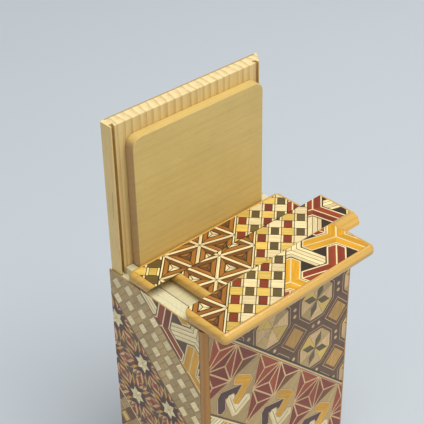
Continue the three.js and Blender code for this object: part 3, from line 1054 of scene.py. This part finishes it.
class SECRETBOX_OT_lid_boards(bpy.types.Operator):
    """Dresses the lid and its inner board in pale wood"""

    bl_idname = "secret_box.lid_boards"
    bl_label = "Lid boards"

    def execute(self, context):
        finish = context.scene.secret_box_finish
        # The lid's end-grain tint is painted light on its top, and the inner board's is painted
        # shade on its sides.
        lid = timber(
            "Lid wood", finish.lid, finish.lid_dark, along=Z, pith=(-160.0, 45.0), ring=3.6,
            ring_depth=0.5, roughness=0.5, end_grain_and_light=END_GRAIN_AND_TOP_LIGHT,
        )
        inner = timber(
            "Inner board wood", finish.inner, finish.inner_dark, along=X, pith=(-30.0, 60.0),
            ring=3.0, ring_depth=0.16, roughness=0.48, end_grain_and_light=END_GRAIN_AND_SIDE_SHADE, coat=0.08,
        )
        worked_board("lid_board", "lid", lid, finish.ease)
        worked_board("lid_inner_board", "lid", inner, finish.ease * SANDED)
        return {"FINISHED"}


class SECRETBOX_OT_end_marquetry(bpy.types.Operator):
    """Lays the marquetry of the end panels and the key strip, as it meets when they are shut"""

    bl_idname = "secret_box.end_marquetry"
    bl_label = "End marquetry"

    def execute(self, context):
        woods = context.scene.secret_box_woods
        sizes = pattern_sizes(context.scene)
        lacquer = veneer_lacquer("End veneer lacquer")
        for node, body, slid in (
            ("end_marquetry_front", "end_panel", (0.0, -sizes.end_slide)),
            ("end_marquetry_back", "end_panel", (0.0, -sizes.end_slide)),
            ("key_strip_marquetry", "key_strip", (sizes.strip_pull, -sizes.end_slide)),
        ):
            sheet = Sheet(node, (1, 0, 0), (0, 1, 0), sizes, woods.seed)
            lay_end(sheet, slid, arms_line=HAIR)
            sheet.build(body, lacquer, woods)
        sheet = Sheet("bottom_marquetry", (1, 0, 0), (0, -1, 0), sizes, woods.seed)
        lay_end(sheet)
        sheet.build("case", lacquer, woods)
        return {"FINISHED"}


class SECRETBOX_OT_side_marquetry(bpy.types.Operator):
    """Lays the marquetry of the front, the two sides and the lid"""

    bl_idname = "secret_box.side_marquetry"
    bl_label = "Side marquetry"

    def execute(self, context):
        woods = context.scene.secret_box_woods
        sizes = pattern_sizes(context.scene)
        lacquer = veneer_lacquer("Side veneer lacquer")
        for node, body, across, lay in (
            ("front_marquetry", "case", (1, 0, 0), lay_front),
            ("left_marquetry", "case", (0, -1, 0), lay_left),
            ("right_marquetry", "case", (0, 1, 0), lay_right),
            ("lid_marquetry", "lid", (-1, 0, 0), lay_lid),
        ):
            sheet = Sheet(node, across, (0, 0, 1), sizes, woods.seed, dark="umber")
            lay(sheet)
            sheet.build(body, lacquer, woods)
        return {"FINISHED"}


# The backdrop, in metres: flat from its front, then a bend, then straight up.
BACKDROP_FRONT = -6.0
BACKDROP_RUN = 4.0
BACKDROP_BEND = 1.2
BACKDROP_RISE = 4.0
BACKDROP_HALF_WIDTH = 7.0
BEND_STEPS = 32
BACKDROP_TURN = math.radians(-35)


def panel_light(scene, target, name, power, size, place, colour):
    """A rectangular light that faces the target."""
    lamp = bpy.data.lights.new(name, "AREA")
    lamp.shape = "RECTANGLE"
    lamp.size, lamp.size_y = size
    lamp.energy = power
    lamp.color = colour
    holder = bpy.data.objects.new(name, lamp)
    facing = (Vector(place) - target).to_track_quat("Z", "Y").to_matrix().to_4x4()
    holder.matrix_world = Matrix.Translation(place) @ facing
    scene.collection.objects.link(holder)


def swept_backdrop(material):
    """A sheet of paper that runs under the box and bends up behind it."""
    profile = [(BACKDROP_FRONT, 0.0)]
    for k in range(BEND_STEPS + 1):
        phase = math.pi / 2 * k / BEND_STEPS
        profile.append((BACKDROP_RUN + BACKDROP_BEND * math.sin(phase),
                        BACKDROP_BEND * (1 - math.cos(phase))))
    profile.append((BACKDROP_RUN + BACKDROP_BEND, BACKDROP_RISE))
    sides = (-BACKDROP_HALF_WIDTH, BACKDROP_HALF_WIDTH)
    corners = [(x, y, z) for y, z in profile for x in sides]
    strips = [(2 * k, 2 * k + 1, 2 * k + 3, 2 * k + 2) for k in range(len(profile) - 1)]
    mesh = bpy.data.meshes.new("Backdrop")
    mesh.from_pydata(corners, [], strips)
    mesh.polygons.foreach_set("use_smooth", [True] * len(strips))
    mesh.materials.append(material)
    backdrop = bpy.data.objects.new("Backdrop", mesh)
    backdrop.rotation_euler = (0, 0, BACKDROP_TURN)
    bpy.context.scene.collection.objects.link(backdrop)
    return backdrop


class SECRETBOX_OT_stage(bpy.types.Operator):
    """Sets up the camera, the lights and the backdrop"""

    bl_idname = "secret_box.stage"
    bl_label = "Stage"

    def execute(self, context):
        scene = context.scene
        stage = scene.secret_box_stage
        scene.view_settings.view_transform = "Standard"
        target = Vector(stage.target)
        level = math.cos(stage.elevation)
        away = Vector((
            math.sin(stage.azimuth) * level, -math.cos(stage.azimuth) * level,
            math.sin(stage.elevation),
        ))
        lens = bpy.data.cameras.new("Camera")
        lens.lens = stage.focal
        lens.sensor_width = 36
        lens.clip_start = 0.01
        camera = bpy.data.objects.new("Camera", lens)
        turn = away.to_track_quat("Z", "Y").to_matrix() @ Matrix.Rotation(stage.roll, 3, "Z")
        camera.matrix_world = Matrix.Translation(target + away * stage.distance) @ turn.to_4x4()
        scene.collection.objects.link(camera)
        scene.camera = camera

        for name, power, size, place, colour in (
            ("Ceiling window", stage.key, (1.2, 1.0), (0.25, -0.35, 1.45), (1, 0.97, 0.92)),
            ("Front bounce", stage.fill, (1.0, 1.0), (0.5, -1.3, 0.5), (1, 0.95, 0.88)),
            ("Left bounce", stage.bounce, (0.9, 0.9), (-1.3, -0.1, 0.5), (1, 0.93, 0.9)),
        ):
            panel_light(scene, target, name, power, size, place, colour)
        world = bpy.data.worlds.new("Room")
        world.use_nodes = True
        room = world.node_tree.nodes["Background"]
        room.inputs["Color"].default_value = (1.0, 0.97, 0.93, 1.0)
        room.inputs["Strength"].default_value = stage.ambient
        scene.world = world
        backdrop = swept_backdrop(paper("Backdrop paper", stage.paper))
        backdrop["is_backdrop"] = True
        return {"FINISHED"}


class SECRETBOX_PT_sidebar(bpy.types.Panel):
    """Lists the steps that dress the box, and their sizes and colours"""

    bl_label = "Secret Box"
    bl_idname = "SECRETBOX_PT_sidebar"
    bl_space_type = "VIEW_3D"
    bl_region_type = "UI"
    bl_category = "Secret Box"

    def draw(self, context):
        for step in STEPS:
            self.layout.operator(step.bl_idname)
        for name in GROUPS:
            box = self.layout.box()
            group = getattr(context.scene, name)
            box.label(text=type(group).__doc__)
            for field in type(group).__annotations__:
                box.prop(group, field)


STEPS = (
    SECRETBOX_OT_stage,
    SECRETBOX_OT_end_boards,
    SECRETBOX_OT_case_boards,
    SECRETBOX_OT_lid_boards,
    SECRETBOX_OT_end_marquetry,
    SECRETBOX_OT_side_marquetry,
)
GROUPS = {
    "secret_box_woods": SecretBoxWoods,
    "secret_box_patterns": SecretBoxPatterns,
    "secret_box_finish": SecretBoxFinish,
    "secret_box_stage": SecretBoxStage,
}
CLASSES = (*GROUPS.values(), *STEPS, SECRETBOX_PT_sidebar)


def register():
    for kind in CLASSES:
        bpy.utils.register_class(kind)
    for name, group in GROUPS.items():
        setattr(bpy.types.Scene, name, PointerProperty(type=group))


def unregister():
    for name in GROUPS:
        delattr(bpy.types.Scene, name)
    for kind in reversed(CLASSES):
        bpy.utils.unregister_class(kind)


def main():
    register()
    bpy.ops.secret_box.stage()
    bpy.ops.secret_box.end_boards()
    bpy.ops.secret_box.case_boards()
    bpy.ops.secret_box.lid_boards()
    bpy.ops.secret_box.end_marquetry()
    bpy.ops.secret_box.side_marquetry()
    boxes = {"cad": CAD_BOX, "visual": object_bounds()}
    {name: [list(corner) for corner in box] for name, box in boxes.items()}


if __name__ == "__main__":
    main()
